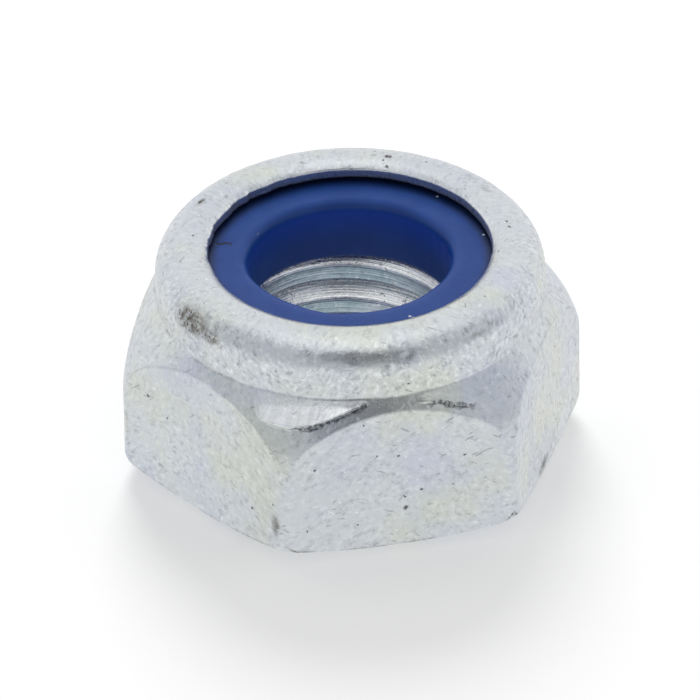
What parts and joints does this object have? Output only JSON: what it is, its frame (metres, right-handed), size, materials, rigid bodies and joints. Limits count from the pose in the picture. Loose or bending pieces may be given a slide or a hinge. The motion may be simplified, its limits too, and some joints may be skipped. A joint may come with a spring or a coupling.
{
  "type": "nylon insert lock nut",
  "caption": "Hexagon lock nut with a rolled collar that holds a blue nylon ring, which grips the screw's thread so that the nut stays where it is set.",
  "frame": {"origin": "centre of the bearing face, on the thread axis", "axes": "+Z along the thread axis from the bearing face to the nylon ring, +X through a corner of the hexagon, +Y through the middle of a flat"},
  "size_m": [0.0114, 0.01, 0.0059],
  "materials": {
    "zinc_plated_steel": "bright clear zinc plate, satin, with handling marks",
    "blue_nylon": "moulded nylon, satin"
  },
  "bodies": {
    "root": {"nut_body": "zinc_plated_steel", "nylon_ring": "blue_nylon"}
  },
  "joints": []
}
